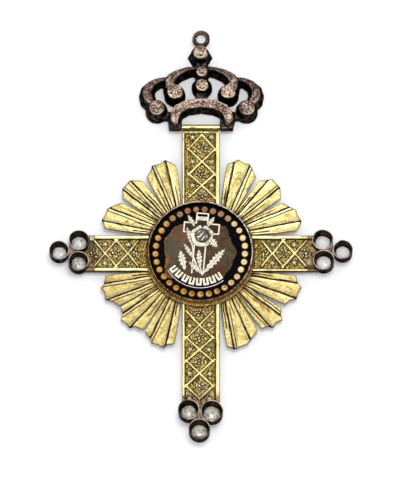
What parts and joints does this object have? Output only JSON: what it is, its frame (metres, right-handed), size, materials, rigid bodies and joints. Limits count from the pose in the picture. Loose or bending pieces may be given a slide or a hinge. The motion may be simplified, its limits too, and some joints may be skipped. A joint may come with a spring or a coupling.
{
  "type": "masonic jewel",
  "caption": "Gilt cross jewel on pleated rays with a round medallion, stone-set trefoil ends and a hinged dark silver crown with a hanging eye.",
  "frame": {"origin": "middle of the box in plan, on the plane that the jewel lies on", "axes": "+X to the right of the front, +Y towards the crown and hanging eye, +Z out of the front face"},
  "size_m": [0.0728, 0.104, 0.0056],
  "materials": {
    "gilt_arms": "worn pale gilt with matt stippled ground and brown stains",
    "gilt_rays": "satin pale gilt with olive tarnish",
    "gilt_back": "plain satin gilt",
    "brown_gilt": "tarnished brown gilt",
    "gold_studs": "dull ochre gold",
    "dark_shell": "polished dark tortoiseshell with a brown patch",
    "cream_inlay": "semi-gloss bone inlay",
    "silver_line": "thin silver wire",
    "dark_collets": "dark oxidised silver, worn at the rims",
    "paste_stones": "cloudy cut paste",
    "dark_silver": "dark oxidised cast silver with worn pinkish faces and pale rims"
  },
  "bodies": {
    "cross": {"arm_top": "gilt_arms", "arm_bottom": "gilt_arms", "arm_left": "gilt_arms", "arm_right": "gilt_arms", "rays_upper_left": "gilt_rays", "rays_upper_right": "gilt_rays", "rays_lower_left": "gilt_rays", "rays_lower_right": "gilt_rays", "case_back": "gilt_back", "stone_left_upper": "paste_stones", "stone_left_lower": "paste_stones", "stone_left_tip": "paste_stones", "stone_right_upper": "paste_stones", "stone_right_lower": "paste_stones", "stone_right_tip": "paste_stones", "stone_bottom_left": "paste_stones", "stone_bottom_right": "paste_stones", "stone_bottom_tip": "paste_stones", "setting_left": "dark_collets", "setting_right": "dark_collets", "setting_bottom": "dark_collets", "emblem_cross": "cream_inlay", "emblem_rose": "cream_inlay", "emblem_leaves": "cream_inlay", "emblem_steps": "cream_inlay", "emblem_line": "silver_line", "bezel": "brown_gilt", "shell_disc": "dark_shell", "stud_ring": "gold_studs"},
    "crown": {"crown": "dark_silver", "hanging_eye": "dark_silver", "hinge_pin": "dark_silver"}
  },
  "joints": [
    {"name": "crown_hinge", "type": "hinge", "parent": "cross", "child": "crown", "pos_m": [0, 0.02729, 0.00195], "axis": [1, 0, 0], "range_deg": [-100, 100]}
  ]
}
